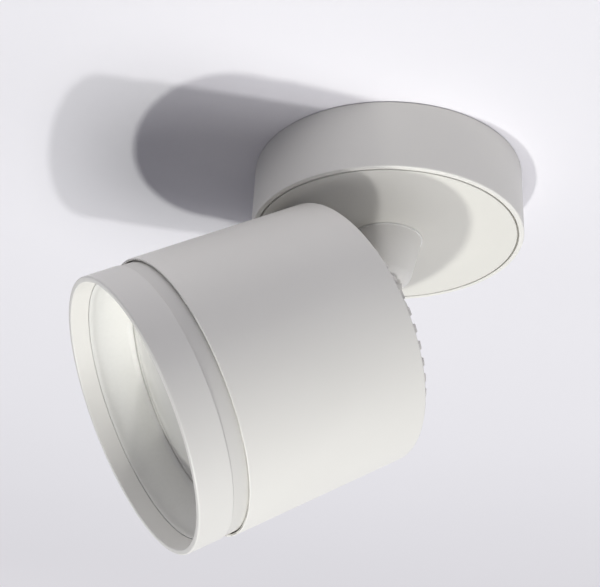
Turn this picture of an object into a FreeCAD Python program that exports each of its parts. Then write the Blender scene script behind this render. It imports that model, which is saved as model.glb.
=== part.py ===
import FreeCAD, Part
import math
import os

# Surface mounted ceiling spotlight: round canopy, turning turret, tilting finned lamp head.
# Millimetres. Origin: canopy centre on the ceiling plane. +Z is up, the head points to -X.
# The lamp head is drawn about its own axis, with z running forward from the tilt pivot and
# x towards the ceiling, and is then swung to its stored tilt.

V = FreeCAD.Vector
UP = V(0, 0, 1)
ALONG_Y = V(0, 1, 0)
CENTRE = V(0, 0, 0)
FULL_TURN = 360.0
TINY = 1e-6

# ---- clearances
RUN_GAP = 0.06          # radial play of a shaft that turns in its bore
SCREW_GAP = 0.1         # radial play of a screw in its hole
SLIP_GAP = 0.3          # radial play of a cover over the piece it hides
SIDE_ROOM = 0.7         # room between the driver's corners and the ledge
BLOCK_ROOM = 2.0        # room between the terminal block's corners and the ledge
OVERCUT = 1.0           # how far a cutting body runs past the face it opens
REST_GAP = 0.24         # between the tilted housing rim and the face disc
THREAD_SHARE = 0.7      # part of a plate's thickness that a screw enters
BLIND_SHARE = 0.2       # part of it left under a blind hole

# ---- canopy
CANOPY_R = 50.0
CANOPY_H = 25.8
CANOPY_WALL = 1.9
CANOPY_EDGE = 0.4       # chamfer on the outer lower edge
DISC_GAP = 0.6          # shadow line round the face disc
DISC_T = 2.6
LEDGE_T = 2.0
LEDGE_W = 5.6
DISC_SCREWS = 4
INNER_R = CANOPY_R - CANOPY_WALL
LEDGE_R = INNER_R - LEDGE_W
DISC_SCREW_R = LEDGE_R + LEDGE_W / 2 - SLIP_GAP     # pitch radius

# ---- ceiling bracket
STRAP_T = 1.5
STRAP_W = 22.0
EAR_W = 16.0
EAR_DROP = 13.5
EAR_OUT = INNER_R - 2.1     # outer face of both ears
HOOK_OUT = INNER_R - 0.5
SLOT_PITCH = 60.0
SLOT_LEN = 12.0
SLOT_R = 2.5
CABLE_HOLE_R = 8.0
GRUB_Z = -7.5
GRUB_R = 2.0
GRUB_TIP = 0.6          # radius of its point, part of its own radius
EARTH_X = 15.5
CUP_T = 0.8             # cup washer under the earth screw

# ---- screws: shank radius, head radius, head height
M3 = (1.5, 2.75, 2.0)
M4 = (2.0, 4.0, 2.6)
M4_SMALL = (2.0, 3.4, 2.6)
HEAD_SIDE = 0.45        # height of a screw head's straight side, part of its height
HEAD_BEND = (0.8, 0.8)  # middle of its slope, parts of radius and height
HEAD_FLAT = 0.4
CROSS = (0.55, 0.12)    # reach and half width of the cross recess, parts of the radius
CROSS_FLOOR = 0.4

# ---- turret and its bearing
FOOT_R = 12.9
SLIDE_T = 0.5           # washer under the turret foot
SLIDE_R = FOOT_R + 0.4
NECK_R = 9.5
NECK_DROP = 13.7        # from the foot to where the nose starts to round
NOSE_MID = (8.4, 16.1)  # radius and drop of two points of the rounding
NOSE_END = (4.8, 18.1)
NIPPLE_R = 5.0
NIPPLE_BORE = 3.2
NIPPLE_DEPTH = 8.0      # into the turret
NIPPLE_TOP = -13.0
LEAD_DROP = 12.0
LEAD_R = 2.6
LEAD_SLOPE = 55.0
TONGUE_T = 7.0
TONGUE_W = 10.0
EYE_R = 7.0
STOP_T = 1.2
STOP_R = 9.5
STOP_REACH = 16.2
STOP_TAB_W = 2.6
STOP_PIN_R = 1.2
STOP_PIN_AT = 15.0
STOP_PIN_H = 2.6
SPRING_T = 0.5
SPRING_RISE = 0.6
SPRING_R = 9.0
NUT_T = 5.0
NUT_FLAT = 14.0         # across flats

# ---- tilt pivot
TILT = 59.3             # stored tilt of the head, measured from straight down
PIVOT_R = 2.5
PAD_T = 0.5             # friction washer on each side of the tongue
PAD_R = 6.6
CHEEK_T = 3.5
CHEEK_ROOT = 9.0        # half width where the cheeks leave the foot
CLEVIS_FOOT_R = 15.0
CLEVIS_FOOT_T = 3.2
CLEVIS_SCREW_AT = 11.2
CLEVIS_THREAD = 7.0
PIVOT_HEAD_R = 4.2
PIVOT_HEAD_H = 2.6
PIVOT_EDGE = 0.5
PIVOT_PROUD = 0.8       # screw end past its nut
SOCKET_R = 1.6
PIVOT_NUT_FLAT = 8.0
PIVOT_NUT_T = 4.0

# ---- lamp housing (z from the pivot, along the head)
HOUSE_R = CANOPY_R - 2.6
HOUSE_WALL = 2.0
HOUSE_REAR = 18.6
HOUSE_LENGTH = 65.0
HOUSE_FRONT = HOUSE_REAR + HOUSE_LENGTH
HOUSE_BORE = HOUSE_R - HOUSE_WALL
REAR_EDGE = 0.4
FRONT_EDGE = 0.5
SHELF_Z = HOUSE_FRONT - 7.6     # front face of the shelf that carries the optics
SHELF_T = 1.6
WEB_Z = SHELF_Z - 20.0          # rear face of the web that carries the heat sink
WEB_T = 2.0
WEB_LEDGE = 9.4
WEB_BORE = HOUSE_BORE - WEB_LEDGE
SINK_SCREWS = 4
SINK_SCREW_AT = HOUSE_BORE - WEB_LEDGE / 2 - 0.2

# ---- heat sink
FIN_COUNT = 50
FIN_T = 2.9             # thickness at the housing, tapering to the root
FIN_ROOT_T = 1.0
FIN_GAP = 0.45          # between the fins and the housing bore
FIN_R = HOUSE_BORE - FIN_GAP
FIN_TIP = 15.6          # rear end of the fins, proud of the housing
FIN_CORNER = 1.6        # rounding of the outer rear corner
FIN_CROWN = 1.0         # how much the tip is rounded over its thickness
FIN_MOUTH = 17.0        # radius of the free space round the clevis foot
FIN_ROOT = 15.4
SINK_PLATE_T = 5.0
BOSS_R = 16.0
BOSS_REAR = 20.0

# ---- light source and optics
PAD_SIDE = 26.0
PAD_THIN = 0.5
BOARD_SIDE = 24.0
BOARD_T = 1.2
EMITTER_R = 9.0
EMITTER_T = 0.9
HOLDER_R = 21.0
HOLDER_T = 5.0
HOLDER_BORE = 10.6
HOLDER_EDGE = 1.2
HOLDER_FUNNEL = 1.4
HOLDER_SCREW_AT = 17.4
BOWL_R = 9.8
BOWL_WALL = 1.0
BOWL_LIP = 1.2          # width of the bowl's inner end
BOWL_WAIST = 0.75       # where the curve's middle is, part of the mouth
BOWL_BULGE = 6.2        # how far the bowl has risen there
SEAL_T = 0.8
LENS_EDGE = 1.4
LENS_RISE = 3.6
LENS_T = 3.0
LENS_STEP = 0.2         # from the baffle bore in to the dome
BAFFLE_FOOT = 1.4
BAFFLE_WALL = 1.2
BAFFLE_SOFT = 0.4
BAFFLE_KNEE = (0.75, 1.3)   # middle and end of its inner bend, parts of the wall

# ---- front ring
RING_R = HOUSE_R - 0.8
BAND_R = RING_R - 1.2
BAND_REAR = HOUSE_FRONT + 0.5
BAND_W = 4.3
RING_REAR = BAND_REAR + BAND_W
RING_W = 11.8
RING_FRONT = RING_REAR + RING_W
SEAM_DEPTH = 6.1        # from the front edge to the seam with the baffle
SEAM_Z = RING_FRONT - SEAM_DEPTH
LIP_T = 1.9             # width of the front edge
LIP_SLOPE = 1.0         # how much the lip narrows down to the seam
SEAM_STEP = 0.4
RING_EDGE = 0.5
LIP_EDGE = 0.2
LIP_R = RING_R - LIP_T
SEAM_R = LIP_R - LIP_SLOPE
RING_BORE = SEAM_R + SEAM_STEP

# ---- radii of the stack that the front ring clamps
OPTIC_R = RING_BORE - 1.1
BAFFLE_RIM_R = RING_BORE - SLIP_GAP
BAFFLE_LIP_R = OPTIC_R - 1.8
BAFFLE_BORE = OPTIC_R - 4.2
SEAL_BORE = OPTIC_R - 3.8
SHELF_BORE = OPTIC_R - 3.5
BOWL_MOUTH = OPTIC_R - 5.6

# ---- electrical parts in the canopy
DRIVER_SIZE = (CANOPY_R * 0.88, 18.0, 16.0)
DRIVER_Y = (math.sqrt((LEDGE_R - SIDE_ROOM) ** 2 - (DRIVER_SIZE[0] / 2) ** 2)
            - DRIVER_SIZE[1] / 2)
DRIVER_TAB = 6.5
DRIVER_TAB_T = 1.6
DRIVER_TAB_W = 8.5
CASE_EDGE = 1.5
MOUTH = (0.5, 0.3)      # width and height of the cable mouths, parts of the case
MOUTH_DEPTH = 4.0
BLOCK_SIZE = (33.0, 16.0, 14.0)
BLOCK_Y = (BLOCK_SIZE[1] / 2
           - math.sqrt((LEDGE_R - BLOCK_ROOM) ** 2 - (BLOCK_SIZE[0] / 2) ** 2))
BLOCK_POLES = 3
BLOCK_EAR = 6.4
BLOCK_FOOT_T = 3.0
WIRE_LEVEL = 6.0        # wire way above the face disc
TOWER_SHARE = 0.68      # width of a terminal tower, part of the pole pitch
POLE_WALL = 0.5
POLE_R = 2.1
POLE_SCREW_R = 1.9

# ---- derived levels
DISC_TOP = -CANOPY_H + DISC_T
PIVOT_Z = ((HOUSE_REAR + REAR_EDGE) * math.cos(math.radians(TILT))
           - HOUSE_R * math.sin(math.radians(TILT)) - CANOPY_H - REST_GAP)
FOOT_Z = -CANOPY_H - SLIDE_T
PLATE_FRONT = WEB_Z
PLATE_REAR = WEB_Z - SINK_PLATE_T
SEAL_Z = SHELF_Z + BOWL_WALL
LENS_Z = SEAL_Z + SEAL_T
BAFFLE_Z = LENS_Z + LENS_EDGE
GAP_HALF = TONGUE_T / 2 + PAD_T
CHEEK_OUT = GAP_HALF + CHEEK_T


def cylinder(radius, low, high, at=(0.0, 0.0)):
    """Upright cylinder between two heights."""
    return Part.makeCylinder(radius, high - low, V(at[0], at[1], low))


def tube(outer, inner, low, high):
    """Upright tube between two heights."""
    return cylinder(outer, low, high).cut(cylinder(inner, low - OVERCUT, high + OVERCUT))


def box(x_low, x_high, y_low, y_high, z_low, z_high):
    """Box between limits on each axis."""
    size = (x_high - x_low, y_high - y_low, z_high - z_low)
    return Part.makeBox(*size, V(x_low, y_low, z_low))


def outline(points):
    """Closed face in the XZ plane. A point is (x, z), or (mid, end) for an arc."""
    first = V(points[0][0], 0, points[0][1])
    here, edges = first, []
    for item in points[1:]:
        if isinstance(item[0], tuple):
            mid, end = (V(p[0], 0, p[1]) for p in item)
            edges.append(Part.Arc(here, mid, end).toShape())
        else:
            end = V(item[0], 0, item[1])
            edges.append(Part.makeLine(here, end))
        here = end
    if here.distanceToPoint(first) > TINY:
        edges.append(Part.makeLine(here, first))
    return Part.Face(Part.Wire(edges))


def turned(points):
    """Solid of revolution about the Z axis from an outline of (radius, height)."""
    return outline(points).revolve(CENTRE, UP, FULL_TURN)


def plate(points, thickness):
    """Flat plate: an XZ outline, thickened evenly to both sides of y = 0."""
    return outline(points).extrude(V(0, thickness, 0)).translated(V(0, -thickness / 2, 0))


def round_copies(shape, count, start=0.0):
    """The shape repeated evenly about the Z axis."""
    step = FULL_TURN / count
    return [shape.rotated(CENTRE, UP, start + step * i) for i in range(count)]


def pan_screw(kind, length):
    """Cross-slotted pan head screw, seat at z = 0, shank pointing down."""
    shank_r, head_r, head_h = kind
    head = turned([(0, 0), (head_r, 0), (head_r, head_h * HEAD_SIDE),
                   (head_r * HEAD_BEND[0], head_h * HEAD_BEND[1]), (head_r * HEAD_FLAT, head_h),
                   (0, head_h)])
    arm, half = (head_r * part for part in CROSS)
    floor = head_h * CROSS_FLOOR
    cross = box(-arm, arm, -half, half, floor, head_h + OVERCUT)
    cross = cross.fuse(box(-half, half, -arm, arm, floor, head_h + OVERCUT))
    return head.fuse(cylinder(shank_r, -length, 0)).cut(cross).removeSplitter()


def hexagon(flat, low, high):
    """Hexagonal prism, measured across its flats."""
    corner = flat / math.sqrt(3)
    points = [V(corner * math.cos(math.radians(a)), corner * math.sin(math.radians(a)), low)
              for a in range(0, 361, 60)]
    return Part.Face(Part.makePolygon(points)).extrude(V(0, 0, high - low))


def on_y(shape):
    """Lay a piece drawn along Z onto the tilt axis: its +Z becomes -Y."""
    return shape.rotated(CENTRE, V(1, 0, 0), 90)


def in_head(shape):
    """Swing a piece of the lamp head from its own axis to its stored place."""
    return shape.rotated(CENTRE, ALONG_Y, TILT - 180).translated(V(0, 0, PIVOT_Z))


# ------------------------------------------------------------------ canopy

def mounting_bracket():
    """Pressed steel strap: two ceiling slots, cable hole, a hooked ear and a screwed ear."""
    half, ear = STRAP_W / 2, EAR_W / 2
    inner = EAR_OUT - STRAP_T
    strap = box(-EAR_OUT, EAR_OUT, -half, half, -STRAP_T, 0)
    right = box(inner, EAR_OUT, -ear, ear, -EAR_DROP, 0)
    left = box(-EAR_OUT, -inner, -ear, ear, -EAR_DROP, 0)
    hook = box(-HOOK_OUT, -inner, -ear / 2, ear / 2, -EAR_DROP, -EAR_DROP + STRAP_T)
    body = strap.multiFuse([right, left, hook]).removeSplitter()
    straight = SLOT_LEN / 2 - SLOT_R
    for side in (-1, 1):
        x = side * SLOT_PITCH / 2
        ends = [cylinder(SLOT_R, -STRAP_T - OVERCUT, OVERCUT, (x + d, 0))
                for d in (-straight, straight)]
        middle = box(x - straight, x + straight, -SLOT_R, SLOT_R, -STRAP_T - OVERCUT, OVERCUT)
        body = body.cut(ends[0].fuse(ends[1]).fuse(middle))
    body = body.cut(cylinder(CABLE_HOLE_R, -STRAP_T - OVERCUT, OVERCUT))
    body = body.cut(cylinder(M4[0] + SCREW_GAP, -STRAP_T - OVERCUT, OVERCUT, (EARTH_X, 0)))
    hole = Part.makeCylinder(GRUB_R + SCREW_GAP, CANOPY_R, V(0, 0, GRUB_Z), V(1, 0, 0))
    return body.cut(hole)


def canopy_ring():
    """Straight outer wall with an inner ledge for the face disc and a lug for the hook."""
    low, edge = -CANOPY_H, CANOPY_EDGE
    ledge_top = DISC_TOP + LEDGE_T
    body = turned([(INNER_R, 0), (CANOPY_R, 0), (CANOPY_R, low + edge), (CANOPY_R - edge, low),
                   (INNER_R, low), (INNER_R, DISC_TOP), (LEDGE_R, DISC_TOP),
                   (LEDGE_R, ledge_top), (INNER_R, ledge_top)])
    catch = -EAR_DROP + STRAP_T
    lug = box(-CANOPY_R, -EAR_OUT - SLIP_GAP, -EAR_W / 4, EAR_W / 4, catch, catch + LEDGE_T)
    lug = lug.common(cylinder(INNER_R + CANOPY_WALL / 2, catch - OVERCUT, 0))
    body = body.fuse(lug).removeSplitter()
    hole = Part.makeCylinder(GRUB_R + SCREW_GAP, CANOPY_R, V(CANOPY_R / 2, 0, GRUB_Z), V(1, 0, 0))
    hole = hole.common(cylinder(CANOPY_R + OVERCUT, -CANOPY_H, 0))
    body = body.cut(hole)
    drill = cylinder(M3[0] + SCREW_GAP, low, ledge_top + OVERCUT, (DISC_SCREW_R, 0))
    for cutter in round_copies(drill, DISC_SCREWS, 45):
        body = body.cut(cutter)
    return body


def canopy_disc():
    """Inset face disc with the turret bearing hole and blind screw holes from behind."""
    low = -CANOPY_H
    body = cylinder(INNER_R - DISC_GAP, low, DISC_TOP)
    body = body.cut(cylinder(NIPPLE_R + RUN_GAP, low - OVERCUT, DISC_TOP + OVERCUT))
    blind = low + DISC_T * BLIND_SHARE
    drill = cylinder(M3[0] + SCREW_GAP, blind, DISC_TOP + OVERCUT, (DISC_SCREW_R, 0))
    cutters = round_copies(drill, DISC_SCREWS, 45)
    cutters += [cylinder(M3[0] + SCREW_GAP, blind, DISC_TOP + OVERCUT, at)
                for at in driver_screw_places() + block_screw_places()]
    cutters.append(cylinder(STOP_PIN_R + SCREW_GAP, blind, DISC_TOP + OVERCUT, (-STOP_PIN_AT, 0)))
    for cutter in cutters:
        body = body.cut(cutter)
    return body


def disc_screws():
    """Screws that hold the face disc to the ledge, heads inside the canopy."""
    screw = pan_screw(M3, LEDGE_T + DISC_T * THREAD_SHARE)
    screw = screw.translated(V(DISC_SCREW_R, 0, DISC_TOP + LEDGE_T))
    return Part.makeCompound(round_copies(screw, DISC_SCREWS, 45))


def canopy_grub_screw():
    """Socket set screw that locks the canopy wall to the bracket ear."""
    inner = EAR_OUT - STRAP_T
    length = CANOPY_R - CANOPY_EDGE - inner
    tip = GRUB_R * GRUB_TIP
    body = turned([(0, 0), (tip, 0), (GRUB_R, GRUB_R - tip), (GRUB_R, length), (0, length)])
    body = body.cut(hexagon(GRUB_R, length - GRUB_R, length + OVERCUT))
    return body.rotated(CENTRE, ALONG_Y, 90).translated(V(inner, 0, GRUB_Z))


def earth_screw():
    """Earthing screw through the strap, head and cup washer on the underside."""
    washer = tube(M4[1], M4[0], 0, CUP_T)
    head = pan_screw(M4, STRAP_T * THREAD_SHARE + CUP_T).translated(V(0, 0, CUP_T))
    body = head.fuse(washer)
    return body.rotated(CENTRE, V(1, 0, 0), 180).translated(V(EARTH_X, 0, -STRAP_T))


def driver_screw_places():
    """Centres of the two driver screws."""
    reach = DRIVER_SIZE[0] / 2 + DRIVER_TAB / 2
    return [(-reach, DRIVER_Y), (reach, DRIVER_Y)]


def led_driver():
    """Encapsulated driver case with two screw tabs and cable mouths at both ends."""
    length, width, height = DRIVER_SIZE
    low = DISC_TOP
    case = box(-length / 2, length / 2, DRIVER_Y - width / 2, DRIVER_Y + width / 2,
               low, low + height)
    upright = [e for e in case.Edges if e.BoundBox.ZLength > height / 2]
    case = case.makeFillet(CASE_EDGE, upright)
    reach = length / 2 + DRIVER_TAB
    tabs = box(-reach, reach, DRIVER_Y - DRIVER_TAB_W / 2, DRIVER_Y + DRIVER_TAB_W / 2,
               low, low + DRIVER_TAB_T)
    body = case.fuse(tabs)
    for place in driver_screw_places():
        body = body.cut(cylinder(M3[0] + SCREW_GAP, low - OVERCUT, low + height, place))
    mouth_w, mouth_h = width * MOUTH[0], height * MOUTH[1]
    for side in (-1, 1):
        end = side * length / 2
        depth = sorted((end, end - side * MOUTH_DEPTH))
        body = body.cut(box(*depth, DRIVER_Y - mouth_w / 2, DRIVER_Y + mouth_w / 2,
                            low + height / 2, low + height / 2 + mouth_h))
    return body.removeSplitter()


def driver_screws():
    """Screws through the driver tabs."""
    top = DISC_TOP + DRIVER_TAB_T
    screw = pan_screw(M3, DRIVER_TAB_T + DISC_T * THREAD_SHARE)
    return Part.makeCompound([screw.translated(V(x, y, top)) for x, y in driver_screw_places()])


def block_screw_places():
    """Centres of the two terminal block screws, in its end ears."""
    reach = BLOCK_SIZE[0] / 2 + BLOCK_EAR / 2
    return [(-reach, BLOCK_Y), (reach, BLOCK_Y)]


def terminal_block():
    """Three pole terminal block: a wire way through each pole and screw shafts above."""
    length, width, height = BLOCK_SIZE
    low = DISC_TOP
    pitch = length / BLOCK_POLES
    reach = length / 2 + BLOCK_EAR
    body = box(-length / 2, length / 2, BLOCK_Y - width / 2, BLOCK_Y + width / 2,
               low, low + BLOCK_FOOT_T)
    body = body.fuse(box(-reach, reach, BLOCK_Y - BLOCK_EAR / 2, BLOCK_Y + BLOCK_EAR / 2,
                         low, low + BLOCK_FOOT_T))
    for pole in range(BLOCK_POLES):
        x = (pole - (BLOCK_POLES - 1) / 2) * pitch
        half = pitch * TOWER_SHARE / 2
        tower = box(x - half, x + half, BLOCK_Y - width / 2, BLOCK_Y + width / 2,
                    low, low + height)
        body = body.fuse(tower)
        start = V(x, BLOCK_Y - width / 2 - OVERCUT, low + WIRE_LEVEL)
        way = Part.makeCylinder(POLE_R, width + 2 * OVERCUT, start, ALONG_Y)
        body = body.cut(way)
        for side in (-1, 1):
            shaft = cylinder(POLE_SCREW_R, low + WIRE_LEVEL, low + height + OVERCUT,
                             (x, BLOCK_Y + side * width / 4))
            body = body.cut(shaft)
    for place in block_screw_places():
        body = body.cut(cylinder(M3[0] + SCREW_GAP, low - OVERCUT, low + height, place))
    return body.removeSplitter()


def terminal_clamps():
    """Brass pole tubes with their clamping screws."""
    length, width, height = BLOCK_SIZE
    pitch = length / BLOCK_POLES
    level = DISC_TOP + WIRE_LEVEL
    pieces = []
    for pole in range(BLOCK_POLES):
        x = (pole - (BLOCK_POLES - 1) / 2) * pitch
        outer = POLE_R - SCREW_GAP
        inner = outer - POLE_WALL
        start = V(x, BLOCK_Y - width / 2 + OVERCUT, level)
        run = width - 2 * OVERCUT
        body = Part.makeCylinder(outer, run, start, ALONG_Y)
        body = body.cut(Part.makeCylinder(inner, run, start, ALONG_Y))
        for side in (-1, 1):
            at = (x, BLOCK_Y + side * width / 4)
            screw = cylinder(POLE_SCREW_R - SCREW_GAP, level + inner / 2, level + height / 2, at)
            body = body.fuse(screw)
        pieces.append(body.removeSplitter())
    return Part.makeCompound(pieces)


def terminal_screws():
    """Screws that hold the terminal block to the face disc."""
    screw = pan_screw(M3, BLOCK_FOOT_T + DISC_T * THREAD_SHARE)
    top = DISC_TOP + BLOCK_FOOT_T
    return Part.makeCompound([screw.translated(V(x, y, top)) for x, y in block_screw_places()])


def stop_pin():
    """Pin on the back of the face disc that limits the turret's turn."""
    return cylinder(STOP_PIN_R, -CANOPY_H + DISC_T * BLIND_SHARE, DISC_TOP + STOP_PIN_H,
                    (-STOP_PIN_AT, 0))


def slide_washer():
    """Thin washer between the face disc and the turret foot."""
    return tube(SLIDE_R, NIPPLE_R + SLIP_GAP, FOOT_Z, -CANOPY_H)


# ------------------------------------------------------------------ turret

def turret():
    """Flared turret with a rounded nose, a lead way and a flat pivot tongue."""
    nose = [(0, FOOT_Z), (FOOT_R, FOOT_Z), (NECK_R, FOOT_Z - NECK_DROP),
            ((NOSE_MID[0], FOOT_Z - NOSE_MID[1]), (NOSE_END[0], FOOT_Z - NOSE_END[1])),
            (0, FOOT_Z - NOSE_END[1])]
    half = TONGUE_W / 2
    root = FOOT_Z - NECK_DROP
    bend = math.sqrt(EYE_R ** 2 - half ** 2)
    tongue = plate([(-half, root), (-half, PIVOT_Z + bend),
                    ((0, PIVOT_Z - EYE_R), (half, PIVOT_Z + bend)), (half, root)], TONGUE_T)
    body = turned(nose).fuse(tongue).removeSplitter()
    thread = cylinder(NIPPLE_R + SCREW_GAP, FOOT_Z - NIPPLE_DEPTH, FOOT_Z + OVERCUT)
    way = cylinder(NIPPLE_BORE, FOOT_Z - LEAD_DROP, FOOT_Z + OVERCUT)
    slope = math.radians(LEAD_SLOPE)
    exit_way = Part.makeCylinder(LEAD_R, FOOT_R + OVERCUT, V(0, 0, FOOT_Z - LEAD_DROP + LEAD_R),
                                 V(0, math.sin(slope), -math.cos(slope)))
    bore = Part.makeCylinder(PIVOT_R + RUN_GAP, TONGUE_T + 2 * OVERCUT,
                             V(0, -TONGUE_T / 2 - OVERCUT, PIVOT_Z), ALONG_Y)
    for cutter in (thread, way, exit_way, bore):
        body = body.cut(cutter)
    return body


def turret_nipple():
    """Hollow threaded tube that carries the turret and passes the leads."""
    return tube(NIPPLE_R, NIPPLE_BORE, FOOT_Z - NIPPLE_DEPTH, NIPPLE_TOP)


def stop_plate():
    """Washer with a tab that meets the stop pin."""
    low, high = DISC_TOP, DISC_TOP + STOP_T
    tab = box(0, STOP_REACH, -STOP_TAB_W / 2, STOP_TAB_W / 2, low, high)
    body = cylinder(STOP_R, low, high).fuse(tab).removeSplitter()
    return body.cut(cylinder(NIPPLE_R + SCREW_GAP, low - OVERCUT, high + OVERCUT))


def disc_spring():
    """Coned spring washer that gives the turret its turning friction."""
    low, bore = DISC_TOP + STOP_T, NIPPLE_R + SCREW_GAP
    return turned([(SPRING_R, low), (SPRING_R, low + SPRING_T),
                   (bore, low + SPRING_T + SPRING_RISE), (bore, low + SPRING_RISE)])


def nipple_nut():
    """Lock nut on the threaded tube."""
    low = DISC_TOP + STOP_T + SPRING_T + SPRING_RISE
    body = hexagon(NUT_FLAT, low, low + NUT_T)
    corner, high = NUT_FLAT / math.sqrt(3), low + NUT_T
    edge = corner - NUT_FLAT / 2
    body = body.common(turned([(0, low), (NUT_FLAT / 2, low), (corner, low + edge),
                               (corner, high - edge), (NUT_FLAT / 2, high), (0, high)]))
    return body.cut(cylinder(NIPPLE_R + SCREW_GAP, low - OVERCUT, low + NUT_T + OVERCUT))


# ------------------------------------------------------------------ tilt joint

def tilt_clevis():
    """Forked bracket: round foot on the heat sink, two cheeks round the tongue."""
    seat = BOSS_REAR
    foot = cylinder(CLEVIS_FOOT_R, seat - CLEVIS_FOOT_T, seat)
    rise = seat - CLEVIS_FOOT_T / 2
    lean = math.atan2(CHEEK_ROOT - EYE_R, rise)
    side = (EYE_R * math.cos(lean), EYE_R * math.sin(lean))
    cheek = plate([(-CHEEK_ROOT, rise), (-side[0], side[1]), ((0, -EYE_R), side),
                   (CHEEK_ROOT, rise)], CHEEK_T)
    middle = GAP_HALF + CHEEK_T / 2
    body = foot.multiFuse([cheek.translated(V(0, d, 0)) for d in (-middle, middle)])
    body = body.removeSplitter()
    bore = Part.makeCylinder(PIVOT_R + RUN_GAP, 2 * CLEVIS_FOOT_R, V(0, -CLEVIS_FOOT_R, 0),
                             ALONG_Y)
    body = body.cut(bore)
    for place in clevis_screw_places():
        body = body.cut(cylinder(M4[0] + SCREW_GAP, seat - 2 * CLEVIS_FOOT_T, seat + OVERCUT,
                                 place))
    return in_head(body)


def clevis_screw_places():
    """Centres of the two clevis screws, outside the cheeks."""
    return [(0, -CLEVIS_SCREW_AT), (0, CLEVIS_SCREW_AT)]


def clevis_screws():
    """Screws that hold the clevis to the heat sink boss."""
    screw = pan_screw(M4_SMALL, CLEVIS_FOOT_T + CLEVIS_THREAD)
    screw = screw.rotated(CENTRE, V(1, 0, 0), 180)
    level = BOSS_REAR - CLEVIS_FOOT_T
    return in_head(Part.makeCompound([screw.translated(V(x, y, level))
                                      for x, y in clevis_screw_places()]))


def pivot_screw():
    """Socket head shoulder screw through cheeks and tongue."""
    reach, edge = 2 * CHEEK_OUT + PIVOT_NUT_T + PIVOT_PROUD, PIVOT_EDGE
    head = turned([(0, 0), (PIVOT_HEAD_R, 0), (PIVOT_HEAD_R, PIVOT_HEAD_H - edge),
                   (PIVOT_HEAD_R - edge, PIVOT_HEAD_H), (0, PIVOT_HEAD_H)])
    body = head.fuse(cylinder(PIVOT_R, -reach, 0)).removeSplitter()
    body = body.cut(hexagon(2 * SOCKET_R, PIVOT_HEAD_H / 3, PIVOT_HEAD_H + OVERCUT))
    return in_head(on_y(body).translated(V(0, -CHEEK_OUT, 0)))


def pivot_nut():
    """Self locking nut at the far end of the pivot screw."""
    body = hexagon(PIVOT_NUT_FLAT, 0, PIVOT_NUT_T)
    body = body.cut(cylinder(PIVOT_R + SCREW_GAP, -OVERCUT, PIVOT_NUT_T + OVERCUT))
    return in_head(on_y(body).translated(V(0, CHEEK_OUT + PIVOT_NUT_T, 0)))


def friction_pads():
    """Two thin washers that hold the tilt by friction."""
    pad = tube(PAD_R, PIVOT_R + SLIP_GAP, 0, PAD_T)
    far = TONGUE_T / 2 + PAD_T
    return in_head(Part.makeCompound([on_y(pad).translated(V(0, d, 0))
                                      for d in (-TONGUE_T / 2, far)]))


# ------------------------------------------------------------------ lamp head

def lamp_housing():
    """Straight tube, open at the back, with a web for the heat sink and a shelf for optics."""
    rear, front = HOUSE_REAR, HOUSE_FRONT
    body = turned([(HOUSE_BORE, rear), (HOUSE_R - REAR_EDGE, rear), (HOUSE_R, rear + REAR_EDGE),
                   (HOUSE_R, front - FRONT_EDGE), (HOUSE_R - FRONT_EDGE, front),
                   (HOUSE_BORE, front), (HOUSE_BORE, SHELF_Z), (SHELF_BORE, SHELF_Z),
                   (SHELF_BORE, SHELF_Z - SHELF_T), (HOUSE_BORE, SHELF_Z - SHELF_T),
                   (HOUSE_BORE, WEB_Z + WEB_T), (WEB_BORE, WEB_Z + WEB_T), (WEB_BORE, WEB_Z),
                   (HOUSE_BORE, WEB_Z)])
    drill = cylinder(M3[0] + SCREW_GAP, WEB_Z - OVERCUT, WEB_Z + WEB_T + OVERCUT,
                     (SINK_SCREW_AT, 0))
    for cutter in round_copies(drill, SINK_SCREWS, 45):
        body = body.cut(cutter)
    return in_head(body)


def fin():
    """One radial fin: a wedge in plan, a rounded tip and a rounded outer corner."""
    base, tip, corner = PLATE_REAR + OVERCUT, FIN_TIP, FIN_CORNER
    bend = corner * (1 - math.sqrt(0.5))
    side = outline([(FIN_ROOT, base), (FIN_R, base), (FIN_R, tip + corner),
                    ((FIN_R - bend, tip + bend), (FIN_R - corner, tip)),
                    (FIN_MOUTH + corner, tip),
                    ((FIN_MOUTH + bend, tip + bend), (FIN_MOUTH, tip + corner)),
                    (FIN_MOUTH, BOSS_REAR + OVERCUT), (FIN_ROOT, BOSS_REAR + OVERCUT)])
    blade = side.extrude(ALONG_Y * FIN_T).translated(ALONG_Y * (-FIN_T / 2))
    thin, thick = FIN_ROOT_T / 2, FIN_T / 2
    plan = [V(FIN_ROOT, -thin, tip), V(FIN_R, -thick, tip), V(FIN_R, thick, tip),
            V(FIN_ROOT, thin, tip), V(FIN_ROOT, -thin, tip)]
    wedge = Part.Face(Part.makePolygon(plan)).extrude(UP * (base - tip))
    crown = outline([(-thick, base), (thick, base), (thick, tip + FIN_CROWN),
                     ((0, tip), (-thick, tip + FIN_CROWN))])
    crown = crown.rotated(CENTRE, UP, 90).extrude(V(FIN_R, 0, 0))
    return blade.common(wedge).common(crown)


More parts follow.
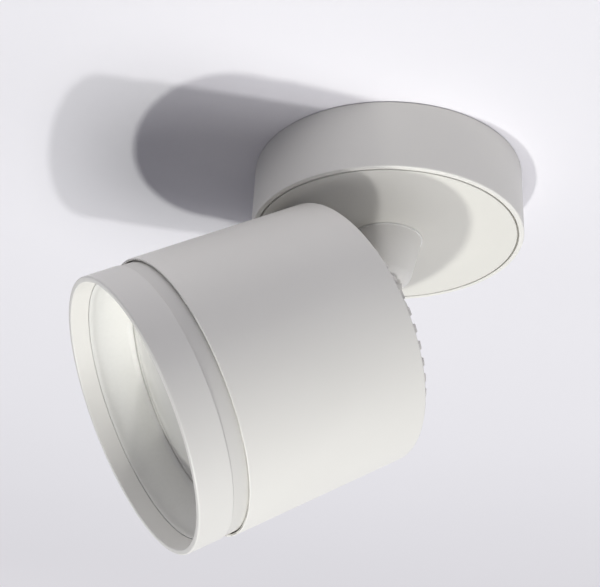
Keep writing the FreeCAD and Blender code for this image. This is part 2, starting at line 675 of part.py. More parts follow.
def heat_sink():
    """Cast heat sink: plate, boss and a crown of radial fins that stand out of the housing."""
    core = turned([(0, BOSS_REAR), (BOSS_R, BOSS_REAR), (BOSS_R, PLATE_REAR),
                   (FIN_R, PLATE_REAR), (FIN_R, PLATE_FRONT), (0, PLATE_FRONT)])
    first = FULL_TURN / FIN_COUNT / 2
    body = core.multiFuse(round_copies(fin(), FIN_COUNT, first)).removeSplitter()
    depth = BOSS_REAR + CLEVIS_THREAD + OVERCUT
    cutters = [cylinder(M4[0] + SCREW_GAP, BOSS_REAR - OVERCUT, depth, place)
               for place in clevis_screw_places()]
    drill = cylinder(M3[0] + SCREW_GAP, PLATE_REAR + 1, PLATE_FRONT + OVERCUT,
                     (SINK_SCREW_AT, 0))
    cutters += round_copies(drill, SINK_SCREWS, 45)
    cutters += [cylinder(M3[0] + SCREW_GAP, PLATE_REAR + 1, PLATE_FRONT + OVERCUT, place)
                for place in holder_screw_places()]
    for cutter in cutters:
        body = body.cut(cutter)
    return in_head(body)


def sink_screws():
    """Screws through the housing web into the heat sink plate."""
    screw = pan_screw(M3, WEB_T + SINK_PLATE_T - 2).translated(V(SINK_SCREW_AT, 0, WEB_Z + WEB_T))
    return in_head(Part.makeCompound(round_copies(screw, SINK_SCREWS, 45)))


def thermal_pad():
    """Heat conducting sheet under the light source."""
    half = PAD_SIDE / 2
    return in_head(box(-half, half, -half, half, PLATE_FRONT, PLATE_FRONT + PAD_THIN))


def led_board():
    """Light source: metal core board with a round emitting face."""
    half, low = BOARD_SIDE / 2, PLATE_FRONT + PAD_THIN
    board = box(-half, half, -half, half, low, low + BOARD_T)
    return in_head(board.fuse(cylinder(EMITTER_R, low + BOARD_T, low + BOARD_T + EMITTER_T)))


def holder_screw_places():
    """Centres of the two holder screws."""
    return [(HOLDER_SCREW_AT, 0), (-HOLDER_SCREW_AT, 0)]


def led_holder():
    """Round clamp that presses the light source onto the heat sink."""
    low, high = PLATE_FRONT, PLATE_FRONT + HOLDER_T
    edge, funnel = HOLDER_EDGE, HOLDER_FUNNEL
    body = turned([(HOLDER_BORE, low), (HOLDER_R, low), (HOLDER_R, high - edge),
                   (HOLDER_R - edge, high), (HOLDER_BORE + funnel, high),
                   (HOLDER_BORE, high - funnel)])
    half = PAD_SIDE / 2 + SCREW_GAP
    pocket = box(-half, half, -half, half, low - OVERCUT, low + PAD_THIN + BOARD_T)
    body = body.cut(pocket)
    for place in holder_screw_places():
        body = body.cut(cylinder(M3[0] + SCREW_GAP, low - OVERCUT, high + OVERCUT, place))
        body = body.cut(cylinder(M3[1] + SCREW_GAP, low + HOLDER_T / 2, high + OVERCUT, place))
    return in_head(body.removeSplitter())


def holder_screws():
    """Screws of the light source holder."""
    level = PLATE_FRONT + HOLDER_T / 2
    screw = pan_screw(M3, HOLDER_T / 2 + SINK_PLATE_T - 2)
    return in_head(Part.makeCompound([screw.translated(V(x, y, level))
                                      for x, y in holder_screw_places()]))


def reflector():
    """Spun bowl from the light source to the shelf, with a flat rim on the shelf."""
    start = PLATE_FRONT + HOLDER_T
    rise = start + BOWL_BULGE
    waist = BOWL_MOUTH * BOWL_WAIST
    bend = ((waist, rise), (BOWL_MOUTH, SHELF_Z))
    inner = ((waist - BOWL_WALL, rise + BOWL_WALL), (BOWL_R, start + BOWL_WALL / 2))
    return in_head(turned([(BOWL_R, start), (BOWL_R + BOWL_LIP, start), bend,
                           (OPTIC_R, SHELF_Z), (OPTIC_R, SEAL_Z),
                           (BOWL_MOUTH - BOWL_WALL / 2, SEAL_Z), inner]))


def lens_seal():
    """Flat silicone gasket under the lens edge."""
    return in_head(tube(OPTIC_R, SEAL_BORE, SEAL_Z, LENS_Z))


def cap_sag(radius, edge_r, rise):
    """How far a spherical cap of this edge radius and rise has dropped at a radius."""
    ball = (edge_r ** 2 + rise ** 2) / (2 * rise)
    return ball - math.sqrt(ball ** 2 - radius ** 2)


def lens():
    """Convex lens with a flat clamping edge."""
    edge_r, low, top = BAFFLE_BORE - LENS_STEP, LENS_Z, BAFFLE_Z
    crown, back = top + LENS_RISE, top + LENS_RISE - LENS_T
    back_r, back_rise = edge_r - LENS_T / 3, back - low
    mid, back_mid = edge_r / 2, back_r / 2
    return in_head(turned([(0, back), ((back_mid, back - cap_sag(back_mid, back_r, back_rise)),
                                       (back_r, low)),
                           (OPTIC_R, low), (OPTIC_R, top), (edge_r, top),
                           ((mid, crown - cap_sag(mid, edge_r, LENS_RISE)), (0, crown))]))


def baffle_cone():
    """White anti-glare cone that presses the lens and meets the front ring at the seam."""
    low, foot_top = BAFFLE_Z, BAFFLE_Z + BAFFLE_FOOT
    rim_in, wall, soft = BAFFLE_RIM_R - BAFFLE_WALL, BAFFLE_WALL, BAFFLE_SOFT
    middle, end = (BAFFLE_LIP_R - wall * part for part in BAFFLE_KNEE)
    knee = ((middle, foot_top), (end, foot_top - soft))
    return in_head(turned([(BAFFLE_BORE, low), (OPTIC_R, low), (OPTIC_R, foot_top),
                           (BAFFLE_RIM_R - soft, SEAM_Z - wall - soft),
                           (BAFFLE_RIM_R, SEAM_Z - wall), (BAFFLE_RIM_R, SEAM_Z),
                           (rim_in + soft, SEAM_Z), (rim_in, SEAM_Z - soft),
                           (BAFFLE_LIP_R, foot_top + soft), knee,
                           (BAFFLE_BORE, low + BAFFLE_FOOT / 2)]))


def front_ring():
    """Front ring: shallow lip, recessed band and a spigot that screws into the housing."""
    spigot_r, edge = HOUSE_BORE - SLIP_GAP, RING_EDGE
    return in_head(turned([(RING_BORE, BAFFLE_Z), (spigot_r, BAFFLE_Z), (spigot_r, HOUSE_FRONT),
                           (spigot_r, BAND_REAR), (BAND_R, BAND_REAR), (BAND_R, RING_REAR),
                           (RING_R - edge / 2, RING_REAR), (RING_R, RING_REAR + edge / 2),
                           (RING_R, RING_FRONT - edge), (RING_R - edge, RING_FRONT),
                           (LIP_R + LIP_EDGE, RING_FRONT), (LIP_R, RING_FRONT - LIP_EDGE),
                           (SEAM_R, SEAM_Z), (RING_BORE, SEAM_Z)]))


NODES = {
    "mounting_bracket": mounting_bracket,
    "canopy_ring": canopy_ring,
    "canopy_disc": canopy_disc,
    "disc_screws": disc_screws,
    "canopy_grub_screw": canopy_grub_screw,
    "earth_screw": earth_screw,
    "led_driver": led_driver,
    "driver_screws": driver_screws,
    "terminal_block": terminal_block,
    "terminal_clamps": terminal_clamps,
    "terminal_screws": terminal_screws,
    "stop_pin": stop_pin,
    "slide_washer": slide_washer,
    "turret": turret,
    "turret_nipple": turret_nipple,
    "stop_plate": stop_plate,
    "disc_spring": disc_spring,
    "nipple_nut": nipple_nut,
    "tilt_clevis": tilt_clevis,
    "clevis_screws": clevis_screws,
    "pivot_screw": pivot_screw,
    "pivot_nut": pivot_nut,
    "friction_pads": friction_pads,
    "heat_sink": heat_sink,
    "lamp_housing": lamp_housing,
    "sink_screws": sink_screws,
    "thermal_pad": thermal_pad,
    "led_board": led_board,
    "led_holder": led_holder,
    "holder_screws": holder_screws,
    "reflector": reflector,
    "lens_seal": lens_seal,
    "lens": lens,
    "baffle_cone": baffle_cone,
    "front_ring": front_ring,
}

os.makedirs("parts", exist_ok=True)
for name, make in NODES.items():
    shape = make()
    if not shape.isValid():
        raise ValueError(name + " is not a valid solid")
    shape.exportStep("parts/" + name + ".step")
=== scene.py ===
import math

import bmesh
import bpy
import numpy as np
from mathutils import Matrix


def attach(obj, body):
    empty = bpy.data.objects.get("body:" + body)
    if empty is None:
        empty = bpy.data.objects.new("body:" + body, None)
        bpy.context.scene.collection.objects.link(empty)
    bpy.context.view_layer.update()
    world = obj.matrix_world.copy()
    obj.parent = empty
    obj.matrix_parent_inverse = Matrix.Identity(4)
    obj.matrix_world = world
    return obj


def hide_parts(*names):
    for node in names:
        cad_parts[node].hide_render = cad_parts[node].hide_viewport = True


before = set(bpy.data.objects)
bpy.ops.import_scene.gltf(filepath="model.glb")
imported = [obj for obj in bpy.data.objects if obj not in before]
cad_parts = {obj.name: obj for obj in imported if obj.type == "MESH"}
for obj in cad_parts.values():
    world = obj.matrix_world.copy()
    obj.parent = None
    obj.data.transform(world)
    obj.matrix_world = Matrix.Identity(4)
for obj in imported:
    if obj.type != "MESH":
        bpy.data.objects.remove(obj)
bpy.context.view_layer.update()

# Shapes are in millimetres and become metres where they reach Blender.
MM = 0.001
TURNS = 192                      # facets round a lathe-turned piece
ON_AXIS = 1e-6                   # a radius under this is a pole

# ---- the lamp head's place at rest
TILT = math.radians(59.3)        # from straight down
PIVOT = np.array([0.0, 0.0, -57.097])
ACROSS = np.array([-math.cos(TILT), 0.0, math.sin(TILT)])     # towards the ceiling side
ALONG = np.array([-math.sin(TILT), 0.0, -math.cos(TILT)])     # from the pivot to the lens

# ---- canopy: heights from the ceiling
CANOPY_R, CANOPY_BORE = 50.0, 48.1
CANOPY_FACE = -25.8
LEDGE_R, LEDGE_FACE, LEDGE_BACK = 42.5, -23.2, -21.2          # carries the face disc
DISC_R, DISC_BORE = 47.5, 5.06

# ---- lamp head: distances from the pivot along the head's axis
TUBE_R, TUBE_BORE = 47.4, 45.4
TUBE_REAR, TUBE_FRONT = 18.6, 83.6
SHADOW_BORE, SHADOW_DEPTH = 46.65, 80.6                       # wider mouth, dark behind the band
LENS_SHELF_R, LENS_SHELF = 39.5, (74.4, 76.0)
BOARD_SHELF_R, BOARD_SHELF = 36.0, (56.0, 58.0)
SEAT = 79.2                                                   # lens flange meets ring and baffle
SPIGOT_R, SPIGOT_BORE = 45.1, 44.1
BAND_BORE, BAND_REAR_R, BAND_FRONT_R = 45.12, 46.12, 46.2
BAND_REAR, BAND_FRONT = 80.8, 88.48
LIP_R, LIP_REAR, LIP_FRONT = 46.52, 88.5, 100.15
MOUTH_FRONT_R, MOUTH_REAR_R, MOUTH_REAR = 44.7, 43.7, 94.1    # bore of the front lip
BAFFLE_FOOT_R, BAFFLE_FOOT = 43.0, 80.6                       # outside: a straight foot,
BAFFLE_FLARE_R, BAFFLE_FLARE = 43.3, 92.5                     # a slight flare
BAFFLE_RIM_R, BAFFLE_RIM, BAFFLE_FRONT = 43.8, 92.9, 94.0     # and a rim behind the lip
CONE_FRONT_R, CONE_REAR_R, CONE_REAR = 43.5, 41.2, 81.0       # inside: the cone in view
GROOVE_R, GROOVE_FRONT = 40.7, 79.3                           # dark ring between cone and lens
FLANGE_R, FLANGE_BEVEL, FLANGE_BACK = 43.0, 0.2, 77.8


# ------------------------------------------------------------------ shapes

def head_place(points):
    """Points of the lamp head, z along its axis and x to its ceiling side, swung to the tilt.

    pivot + x * (-cos t, 0, sin t) + y * (0, 1, 0) + z * (-sin t, 0, -cos t).
    """
    return PIVOT + points[:, :1] * ACROSS + points[:, 1:2] * [0.0, 1.0, 0.0] + points[:, 2:] * ALONG


def softened(corners):
    """Closed profile with its corners rounded.

    corners holds (radius, height, rounding). Each corner is replaced by points of the arc that
    touches both of its sides, found by sweeping the angle between the two tangent points about
    the arc's centre. One guard point each side keeps the shading of the flats flat. An arc takes
    at most cut_share of its shorter side, and a guard at most guard_share of what is left.
    """
    steps, guard, cut_share, guard_share = 5, 0.3, 0.45, 0.4
    straight = math.radians(89)
    spots = np.array([c[:2] for c in corners], dtype=float)
    rounding = np.array([c[2] for c in corners], dtype=float)
    before, after = np.roll(spots, 1, axis=0) - spots, np.roll(spots, -1, axis=0) - spots
    out = []
    for spot, one, two, radius in zip(spots, before, after, rounding):
        len_one, len_two = np.hypot(*one), np.hypot(*two)
        one, two = one / len_one, two / len_two
        half = math.acos(float(np.clip(one @ two, -1, 1))) / 2
        if radius <= 0 or half > straight:
            out.append(spot[None])
            continue
        cut = min(radius / math.tan(half), cut_share * min(len_one, len_two))
        radius = cut * math.tan(half)
        middle = (one + two) / np.hypot(*(one + two))
        centre = spot + middle * radius / math.sin(half)
        start, end = spot + one * cut - centre, spot + two * cut - centre
        sweep = math.atan2(start[0] * end[1] - start[1] * end[0], float(start @ end))
        angle = np.linspace(0, sweep, steps + 1)[:, None]
        turned = np.array([-start[1], start[0]])
        arc = centre + start * np.cos(angle) + turned * np.sin(angle)
        room_one = min(guard, (len_one - cut) * guard_share)
        room_two = min(guard, (len_two - cut) * guard_share)
        out += [arc[:1] + one * room_one, arc, arc[-1:] + two * room_two]
    return np.concatenate(out)


def in_scene(name, data):
    """Object at the origin for the given data, linked into the scene."""
    obj = bpy.data.objects.new(name, data)
    bpy.context.scene.collection.objects.link(obj)
    return obj


def dress(name, mesh, body, nodes, material):
    """A mesh as a piece: its finish, the body it rides on and the nodes it stands for."""
    mesh.materials.clear()
    mesh.materials.append(material)
    piece = in_scene(name, mesh)
    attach(piece, body)
    if nodes:
        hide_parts(*nodes)


def lathe(name, profile, body, nodes, material, place=None):
    """Closed surface of revolution: (r cos a, r sin a, z) for each profile point and angle a.

    Each cell of the grid is a quad. Points on the axis are drawn together to one, and the cells
    beside it are triangles. The sign of the profile's area says which way round they face out.
    """
    radius, height = profile[:, 0], profile[:, 1]
    angle = np.linspace(0, 2 * math.pi, TURNS, endpoint=False)
    points = np.stack([np.outer(radius, np.cos(angle)), np.outer(radius, np.sin(angle)),
                       np.repeat(height[:, None], TURNS, axis=1)], axis=-1).reshape(-1, 3)
    here = np.arange(len(points)).reshape(-1, TURNS)
    pole = radius < ON_AXIS
    here[pole] = here[pole, :1]
    below, beside = np.roll(here, -1, axis=0), np.roll(here, -1, axis=1)
    corner = np.roll(below, -1, axis=1)
    next_pole = np.roll(pole, -1)
    cells = ~pole & ~next_pole
    opens, closes = pole & ~next_pole, ~pole & next_pole
    quads = np.stack([here, below, corner, beside], axis=-1)[cells].reshape(-1, 4)
    fans = np.concatenate([np.stack([here, below, corner], axis=-1)[opens].reshape(-1, 3),
                           np.stack([here, below, beside], axis=-1)[closes].reshape(-1, 3)])
    used, index = np.unique(np.concatenate([quads.ravel(), fans.ravel()]), return_inverse=True)
    quads, fans = index[:quads.size].reshape(-1, 4), index[quads.size:].reshape(-1, 3)
    if np.sum(radius * np.roll(height, -1) - np.roll(radius, -1) * height) > 0:
        quads, fans = quads[:, ::-1], fans[:, ::-1]
    points = points[used] if place is None else place(points[used])
    mesh = bpy.data.meshes.new(name)
    mesh.from_pydata((points * MM).tolist(), [], quads.tolist() + fans.tolist())
    mesh.shade_smooth()
    dress(name, mesh, body, nodes, material)


def lens_profile():
    """Spherical caps front and back, z = crown - (b - sqrt(b^2 - r^2)), and a bevelled edge."""
    steps = 24

    def cap(crown, edge_r, rise):
        ball = (edge_r ** 2 + rise ** 2) / (2 * rise)
        r = np.linspace(0, edge_r, steps)
        return np.stack([r, crown - (ball - np.sqrt(ball ** 2 - r ** 2))], axis=-1)

    bevel_r = FLANGE_R - FLANGE_BEVEL
    edge = np.array([[bevel_r, FLANGE_BACK], [FLANGE_R, FLANGE_BACK + FLANGE_BEVEL],
                     [FLANGE_R, SEAT - FLANGE_BEVEL], [bevel_r, SEAT]])
    back = cap(crown=79.8, edge_r=37.6, rise=2.0)
    front = cap(crown=83.4, edge_r=38.6, rise=4.2)
    return np.concatenate([back, edge, front[::-1]])


def drawn_in(name, node, material, edge, share, lower=0.0):
    """A packed head part with its rear end drawn in towards the tube.

    A point's distance s along the head's axis stays where it is in front of edge, and becomes
    edge - (edge - s) * share behind it. Towards the ceiling side the share falls by lower, in
    step with the height x across the head, from the axis to ramp millimetres above it.
    """
    ramp, weld, crease = 22.0, 0.001, math.radians(32)
    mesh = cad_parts[node].data.copy()
    mesh.name = name
    points = np.zeros(len(mesh.vertices) * 3)
    mesh.vertices.foreach_get("co", points)
    points = points.reshape(-1, 3) / MM
    reach = (points - PIVOT) @ ALONG
    rise = np.clip((points - PIVOT) @ ACROSS / ramp, 0.0, 1.0)
    moved = np.where(reach < edge, (edge - reach) * (1 - share + lower * rise), 0.0)
    points += moved[:, None] * ALONG
    mesh.vertices.foreach_set("co", (points * MM).reshape(-1))
    shell = bmesh.new()
    shell.from_mesh(mesh)
    bmesh.ops.remove_doubles(shell, verts=shell.verts, dist=weld * MM)
    shell.to_mesh(mesh)
    shell.free()
    mesh.shade_smooth()
    mesh.set_sharp_from_angle(angle=crease)
    dress(name, mesh, "head", [node], material)


# ------------------------------------------------------------------ materials

def linear(hex_colour):
    """sRGB hex to linear RGBA."""
    value = [int(hex_colour[i:i + 2], 16) / 255 for i in (0, 2, 4)]
    return [v / 12.92 if v <= 0.04045 else ((v + 0.055) / 1.055) ** 2.4 for v in value] + [1.0]


def add(tree, kind, links=(), **settings):
    """Add a node, set its properties and its in_ sockets, and link (socket, source) pairs."""
    node = tree.nodes.new(kind)
    for key, value in settings.items():
        if key.startswith("in_"):
            node.inputs[key[3:].replace("_", " ")].default_value = value
        else:
            setattr(node, key, value)
    for socket, source in links:
        tree.links.new(source, node.inputs[socket])
    return node


def new_material(name):
    """Node material with its output and the Object coordinates that its patterns read."""
    material = bpy.data.materials.new(name)
    material.use_nodes = True
    tree = material.node_tree
    tree.nodes.clear()
    place = add(tree, "ShaderNodeTexCoord").outputs["Object"]
    return material, tree, place, tree.nodes.new("ShaderNodeOutputMaterial")


def powder_coat(name, light, dark, roughness, grain_mm=0.9, relief_mm=0.02):
    """Thermoset powder coat: satin, slightly orange-peeled, with a faint drift in its tint.

    The drift is a noise of drift_mm between two close tints. The peel is a noise of grain_mm
    that gives both the relief and a small change in roughness.
    """
    drift_mm, duller, glossier = 36.0, 0.06, 0.04
    material, tree, place, out = new_material(name)
    drift = add(tree, "ShaderNodeTexNoise", [("Vector", place)], in_Scale=1 / (drift_mm * MM),
                in_Detail=2.0)
    tint = add(tree, "ShaderNodeMix", [("Factor", drift.outputs["Fac"])], data_type="RGBA",
               in_A=linear(dark), in_B=linear(light))
    peel = add(tree, "ShaderNodeTexNoise", [("Vector", place)], in_Scale=1 / (grain_mm * MM),
               in_Detail=3.0, in_Roughness=0.55)
    bump = add(tree, "ShaderNodeBump", [("Height", peel.outputs["Fac"])], in_Strength=0.5,
               in_Distance=relief_mm * MM)
    gloss = add(tree, "ShaderNodeMapRange", [("Value", peel.outputs["Fac"])],
                in_To_Min=roughness - glossier, in_To_Max=roughness + duller)
    shader = add(tree, "ShaderNodeBsdfPrincipled",
                 [("Base Color", tint.outputs["Result"]), ("Normal", bump.outputs["Normal"]),
                  ("Roughness", gloss.outputs["Result"])])
    tree.links.new(shader.outputs["BSDF"], out.inputs["Surface"])
    return material


def plain_finish(name, light, dark, roughness, metallic=0.0, relief_mm=0.01, seep=0.0,
                 seep_mm=4.0):
    """Moulded, plated or spun surface: two close tints and a fine relief from one noise.

    seep is the share of light that enters the surface and spreads seep_mm before it leaves.
    """
    grain_mm = 1.2
    material, tree, place, out = new_material(name)
    grain = add(tree, "ShaderNodeTexNoise", [("Vector", place)], in_Scale=1 / (grain_mm * MM),
                in_Detail=3.0)
    tint = add(tree, "ShaderNodeMix", [("Factor", grain.outputs["Fac"])], data_type="RGBA",
               in_A=linear(dark), in_B=linear(light))
    bump = add(tree, "ShaderNodeBump", [("Height", grain.outputs["Fac"])], in_Strength=0.3,
               in_Distance=relief_mm * MM)
    shader = add(tree, "ShaderNodeBsdfPrincipled",
                 [("Base Color", tint.outputs["Result"]), ("Normal", bump.outputs["Normal"])],
                 in_Roughness=roughness, in_Metallic=metallic, in_Subsurface_Weight=seep,
                 in_Subsurface_Radius=(1.0, 1.0, 1.0), in_Subsurface_Scale=seep_mm * MM)
    tree.links.new(shader.outputs["BSDF"], out.inputs["Surface"])
    return material


# Powder coats: dry polyester powder sprayed on and baked. It flows into a satin skin with a
# fine orange peel, about 0.9 mm from dimple to dimple, which breaks up the highlights.
white_coat = powder_coat("powder_coated_aluminium_white", "EAE8E2", "E4E2DC", 0.42)
# The front lip is turned before it is coated: as satin as the tube, a shade greyer.
ring_coat = powder_coat("powder_coated_turned_ring_white", "E4E2DD", "DEDCD7", 0.42)
# The recessed band is tinted darker and set slightly rougher than the ring, and reads as a darker
# stripe.
band_coat = powder_coat("powder_coated_band_white", "DAD8D3", "D5D3CE", 0.46)
# The face disc lies flat while it is baked: even and nearly matt.
face_coat = powder_coat("powder_coated_face_white", "E3E1DA", "DDDBD4", 0.5)
# Die-cast zinc under the coat: 1.1 mm grain and a slightly deeper relief. Its tint is painted
# lighter than the other white coats, painted light that stands in for the light on the turret's
# nose.
cast_coat_painted_light = powder_coat("powder_coated_cast_zinc_white_painted_light", "F8F6F1", "F3F1EB", 0.45, 1.1, 0.03)
# Cast aluminium fins: the tone is painted greyer and flat, painted shade for the gaps between the
# fins.
fin_coat_painted_shade = powder_coat("powder_coated_cast_fins_painted_shade", "E4E1DB", "DAD7D2", 0.5, 1.1, 0.03)

# The grain of the finishes below is drawn at 1.2 mm, coarser than it is, so that it shows.
# PBT, injection moulded in an etched tool: satin, and light seeps 3 mm into it, so shadow edges
# on it stay soft.
baffle_plastic = plain_finish("satin_moulded_pbt_white", "E7E6E1", "E1E0DB", 0.5,
                              seep=0.3, seep_mm=3.0)
# Opal acrylic, moulded in a polished tool: milky white under a clear, sharp gloss.
opal_acrylic = plain_finish("polished_opal_acrylic", "E3E2DD", "DFDED9", 0.08, relief_mm=0.002)
# Steel strip with bright zinc plating: cool grey metal, slightly blurred reflections.
zinc_steel = plain_finish("bright_zinc_plated_steel", "C9CBCC", "B4B6B9", 0.32, 1.0)
# Spring steel, hot blackened in oil: dark metal with a soft sheen.
dark_steel = plain_finish("blackened_spring_steel", "4A4A4C", "38383A", 0.4, 1.0)
# Free-cutting brass, turned and left bare: warm yellow metal.
brass = plain_finish("turned_brass", "D0A95C", "BE9448", 0.3, 1.0)
# ABS driver case, moulded in a spark-eroded tool: matt white, faintly mottled.
driver_plastic = plain_finish("moulded_abs_white", "E6E6E4", "DEDEDC", 0.5)
# Nylon 66, moulded and uncoloured: creamy, faintly waxy.
nylon = plain_finish("natural_moulded_nylon", "E0DCD0", "D6D2C6", 0.45)
# Acetal washers and pads, moulded: clean white with a soft shine.
slide_plastic = plain_finish("white_acetal_washer", "F0EFEC", "E8E7E4", 0.35)
# Silicone gap filler, calendered sheet loaded with ceramic: grey and quite matt.
thermal_sheet = plain_finish("grey_gap_filler_sheet", "8C9196", "7D8287", 0.8)
# Metal core board, screen printed with white solder resist: creamy, semi-matt.
led_face = plain_finish("metal_core_board_white", "EFEDE2", "E6E3D4", 0.5)
# Glass-filled nylon holder, moulded: white, dulled by the fibres at its skin.
holder_plastic = plain_finish("glass_filled_white_plastic", "EDECE8", "E4E3DF", 0.5)
# Spun aluminium, chemically brightened and anodised: mirror-like with a faint haze.
bright_aluminium = plain_finish("bright_anodised_spun_aluminium", "E6E6E8", "DADADD", 0.18, 1.0)
# Silicone rubber, moulded: milky, soft and matt.
silicone = plain_finish("translucent_silicone", "DFDFDD", "D6D6D4", 0.55)

# Solids that show with their own mesh.
NODE_FINISH = {
    "mounting_bracket": zinc_steel, "disc_screws": zinc_steel, "canopy_grub_screw": dark_steel,
    "earth_screw": brass, "led_driver": driver_plastic, "driver_screws": zinc_steel,
    "terminal_block": nylon, "terminal_clamps": brass, "terminal_screws": zinc_steel,
    "stop_pin": zinc_steel, "slide_washer": slide_plastic, "turret": cast_coat_painted_light,
    "turret_nipple": brass, "stop_plate": zinc_steel, "disc_spring": dark_steel,
    "nipple_nut": zinc_steel, "clevis_screws": zinc_steel, "pivot_screw": dark_steel,
    "pivot_nut": zinc_steel, "friction_pads": slide_plastic, "sink_screws": zinc_steel,
    "thermal_pad": thermal_sheet, "led_board": led_face, "led_holder": holder_plastic,
    "holder_screws": zinc_steel, "reflector": bright_aluminium, "lens_seal": silicone,
}
for node, finish in NODE_FINISH.items():
    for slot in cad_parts[node].material_slots:
        slot.material = finish


# ------------------------------------------------------------------ the light's own pieces

lathe("canopy_wall", softened([
    (CANOPY_R, 0.0, 0.2), (CANOPY_R, CANOPY_FACE, 0.5), (CANOPY_BORE, CANOPY_FACE, 0.25),
    (CANOPY_BORE, LEDGE_FACE, 0.1), (LEDGE_R, LEDGE_FACE, 0.1), (LEDGE_R, LEDGE_BACK, 0.1),
    (CANOPY_BORE, LEDGE_BACK, 0.1), (CANOPY_BORE, 0.0, 0.2)]),
    "canopy", ["canopy_ring"], white_coat)

lathe("face_disc", softened([
    (DISC_BORE, CANOPY_FACE, 0.1), (DISC_R, CANOPY_FACE, 0.3), (DISC_R, LEDGE_FACE, 0.1),
    (DISC_BORE, LEDGE_FACE, 0.1)]),
    "canopy", ["canopy_disc"], face_coat)

lathe("housing_tube", softened([
    (TUBE_BORE, TUBE_REAR, 0.2), (TUBE_R, TUBE_REAR, 0.45), (TUBE_R, TUBE_FRONT, 0.25),
    (SHADOW_BORE, TUBE_FRONT, 0.12), (SHADOW_BORE, SHADOW_DEPTH, 0.1),
    (TUBE_BORE, SHADOW_DEPTH, 0.1), (TUBE_BORE, LENS_SHELF[1], 0.1),
    (LENS_SHELF_R, LENS_SHELF[1], 0.2), (LENS_SHELF_R, LENS_SHELF[0], 0.2),
    (TUBE_BORE, LENS_SHELF[0], 0.1), (TUBE_BORE, BOARD_SHELF[1], 0.1),
    (BOARD_SHELF_R, BOARD_SHELF[1], 0.2), (BOARD_SHELF_R, BOARD_SHELF[0], 0.2),
    (TUBE_BORE, BOARD_SHELF[0], 0.1)]),
    "head", ["lamp_housing"], white_coat, head_place)

lathe("front_lip", softened([
    (SPIGOT_BORE, SEAT, 0.1), (SPIGOT_R, SEAT, 0.1), (SPIGOT_R, LIP_REAR, 0.05),
    (LIP_R, LIP_REAR, 0.25), (LIP_R, LIP_FRONT, 0.5), (MOUTH_FRONT_R, LIP_FRONT, 0.35),
    (MOUTH_REAR_R, MOUTH_REAR, 0.08), (SPIGOT_BORE, MOUTH_REAR, 0.1)]),
    "head", ["front_ring"], ring_coat, head_place)

lathe("recessed_band", softened([
    (BAND_BORE, BAND_REAR, 0.1), (BAND_REAR_R, BAND_REAR, 0.1),
    (BAND_FRONT_R, BAND_FRONT, 0.02), (BAND_BORE, BAND_FRONT, 0.1)]),
    "head", [], band_coat, head_place)

lathe("baffle", softened([
    (GROOVE_R, SEAT, 0.02), (BAFFLE_FOOT_R, SEAT, 0.2), (BAFFLE_FOOT_R, BAFFLE_FOOT, 0.3),
    (BAFFLE_FLARE_R, BAFFLE_FLARE, 0.2), (BAFFLE_RIM_R, BAFFLE_RIM, 0.1),
    (BAFFLE_RIM_R, BAFFLE_FRONT, 0.1), (CONE_FRONT_R, BAFFLE_FRONT, 0.15),
    (CONE_REAR_R, CONE_REAR, 0.3), (GROOVE_R, GROOVE_FRONT, 0.2)]),
    "head", ["baffle_cone"], baffle_plastic, head_place)

# The fin ends show as a shallow wave behind the tube, and not at all on the ceiling side.
drawn_in("fin_crown", "heat_sink", fin_coat_painted_shade, edge=19.6, share=0.95, lower=0.22)
drawn_in("clevis_ears", "tilt_clevis", cast_coat_painted_light, edge=0.0, share=0.86)

lathe("lens_body", lens_profile(), "head", ["lens"], opal_acrylic, head_place)


# ------------------------------------------------------------------ room, light and camera

ROOM_TONE = "E2E0E5"                     # the pale tone that rays see far from the light
AIM = np.array([-50.0, 0.0, -50.0])      # inside the lamp head, where the lamps point


def seen_ray(tree):
    """1 for camera, glossy and transmission rays, 0 for the rays that light surfaces."""
    path = add(tree, "ShaderNodeLightPath")
    seen = path.outputs["Is Camera Ray"]
    for kind in ("Is Glossy Ray", "Is Transmission Ray"):
        seen = add(tree, "ShaderNodeMath", [(0, seen), (1, path.outputs[kind])],
                   operation="MAXIMUM").outputs["Value"]
    return seen


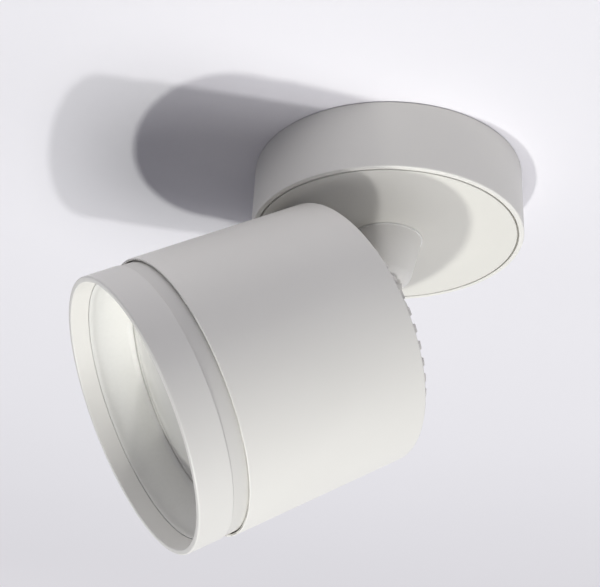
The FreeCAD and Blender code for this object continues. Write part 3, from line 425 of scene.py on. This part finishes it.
def ceiling():
    """Plain pale ceiling just behind the canopy's back, seen from below only.

    Rings of points (r cos a, r sin a) from under the canopy wall outwards. The round hole that
    the canopy covers lets light onto the bracket when the light is looked at from above. Far from
    the light the paint fades to one pale tone for rays that are seen, and still lights as paint.
    """
    lift, count, rings = 0.3, 96, np.array([[49.0], [120.0], [4000.0]])
    patch_mm, fade_from, fade_to = 250.0, 0.3, 1.3            # the fade in metres
    angle = np.linspace(0, 2 * math.pi, count, endpoint=False)
    points = np.stack([rings * np.cos(angle), rings * np.sin(angle),
                       np.full((len(rings), count), lift)], axis=-1).reshape(-1, 3)
    here = np.arange(len(points)).reshape(-1, count)
    beside = np.roll(here, -1, axis=1)
    faces = np.stack([here[:-1], beside[:-1], beside[1:], here[1:]], axis=-1).reshape(-1, 4)
    mesh = bpy.data.meshes.new("ceiling")
    mesh.from_pydata((points * MM).tolist(), [], faces.tolist())

    # Emulsion paint, rolled on plaster: dead matt, a trace cooler than the lamp's coat.
    material, tree, place, out = new_material("matt_emulsion_paint")
    patch = add(tree, "ShaderNodeTexNoise", [("Vector", place)], in_Scale=1 / (patch_mm * MM),
                in_Detail=2.0)
    tint = add(tree, "ShaderNodeMix", [("Factor", patch.outputs["Fac"])], data_type="RGBA",
               in_A=linear("E6E4E8"), in_B=linear("EAE8EC"))
    paint = add(tree, "ShaderNodeBsdfPrincipled", [("Base Color", tint.outputs["Result"])],
                in_Roughness=0.9)
    glow = add(tree, "ShaderNodeEmission", in_Color=linear(ROOM_TONE))
    away = add(tree, "ShaderNodeVectorMath", [(0, place)], operation="LENGTH")
    fade = add(tree, "ShaderNodeMapRange", [("Value", away.outputs["Value"])],
               interpolation_type="SMOOTHSTEP", in_From_Min=fade_from, in_From_Max=fade_to)
    shown = add(tree, "ShaderNodeMath", [(0, fade.outputs["Result"]), (1, seen_ray(tree))],
                operation="MULTIPLY")
    far = add(tree, "ShaderNodeMixShader",
              [("Fac", shown.outputs["Value"]), (1, paint.outputs["BSDF"]),
               (2, glow.outputs["Emission"])])
    clear = add(tree, "ShaderNodeBsdfTransparent")
    side = add(tree, "ShaderNodeNewGeometry")
    mix = add(tree, "ShaderNodeMixShader",
              [("Fac", side.outputs["Backfacing"]), (1, far.outputs["Shader"]),
               (2, clear.outputs["BSDF"])])
    tree.links.new(mix.outputs["Shader"], out.inputs["Surface"])
    mesh.materials.append(material)
    in_scene("ceiling", mesh)


def lamp(name, spot_mm, size, power, colour="FFFFFF"):
    """Round area lamp of a size in metres and a power in watts, aimed at the lamp head."""
    data = bpy.data.lights.new(name, "AREA")
    data.shape, data.size, data.energy = "DISK", size, power
    data.color = linear(colour)[:3]
    spot = np.array(spot_mm, dtype=float) * MM
    direction = spot - AIM * MM
    direction /= np.linalg.norm(direction)
    side = np.cross([0.0, 1.0, 0.0], direction)
    side /= np.linalg.norm(side)
    up = np.cross(direction, side)
    in_scene(name, data).matrix_world = Matrix(
        np.column_stack([side, up, direction, spot]).tolist() + [[0, 0, 0, 1]])


def room_light():
    """Weak cool fill for the shadows, and a pale room for the rays that are seen."""
    world = bpy.data.worlds.new("pale_room")
    bpy.context.scene.world = world
    world.use_nodes = True
    tree = world.node_tree
    tree.nodes.clear()
    fill = add(tree, "ShaderNodeBackground", in_Strength=0.134, in_Color=linear("D8DCF4"))
    view = add(tree, "ShaderNodeBackground", in_Strength=1.0, in_Color=linear(ROOM_TONE))
    mix = add(tree, "ShaderNodeMixShader",
              [("Fac", seen_ray(tree)), (1, fill.outputs["Background"]),
               (2, view.outputs["Background"])])
    out = tree.nodes.new("ShaderNodeOutputWorld")
    tree.links.new(mix.outputs["Shader"], out.inputs["Surface"])


def camera():
    """Camera at the photograph's viewpoint, below the light and looking up at it.

    It stands distance metres from the canopy's centre, looks past it by yaw and pitch, and is
    rolled about its own line of sight.
    """
    photo_width, focal_px, sensor = 600, 1098.09, 36.0
    distance, azimuth, elevation = 0.42, math.radians(-21.38), math.radians(-32.12)
    yaw, pitch, roll = math.radians(-4.465), math.radians(-5.924), math.radians(0.51)
    spot = distance * np.array([math.sin(azimuth) * math.cos(elevation),
                                -math.cos(azimuth) * math.cos(elevation), math.sin(elevation)])
    ahead = -spot / np.linalg.norm(spot)
    right = np.array([math.cos(azimuth), math.sin(azimuth), 0.0])
    up = np.cross(right, ahead)
    ahead = ahead + right * math.tan(yaw) + up * math.tan(pitch)
    ahead /= np.linalg.norm(ahead)
    right = np.cross(ahead, up)
    right /= np.linalg.norm(right)
    up = np.cross(right, ahead)
    level = right * math.cos(roll) + up * math.sin(roll)
    tall = up * math.cos(roll) - right * math.sin(roll)
    data = bpy.data.cameras.new("camera")
    data.sensor_width = sensor
    data.lens = focal_px / photo_width * sensor
    data.clip_start, data.clip_end = 0.01, 20.0
    obj = in_scene("camera", data)
    obj.matrix_world = Matrix(
        np.column_stack([level, tall, -ahead, spot]).tolist() + [[0, 0, 0, 1]])
    bpy.context.scene.camera = obj


ceiling()
room_light()
# Two small lamps far below throw the crisp shadows, and broad ones fill them.
lamp("lamp_left", (-586, -109, -2400), 0.115, 20.5, "FCFEF9")
lamp("lamp_right", (406, -508, -2400), 0.125, 13.9)
lamp("lamp_soft", (0, -500, -2400), 1.6, 21.3)
lamp("lamp_side", (900, 0, -1300), 1.2, 2.6)
lamp("lamp_above", (300, 400, 1500), 1.0, 9.0)
camera()
bpy.context.scene.view_settings.view_transform = "Standard"
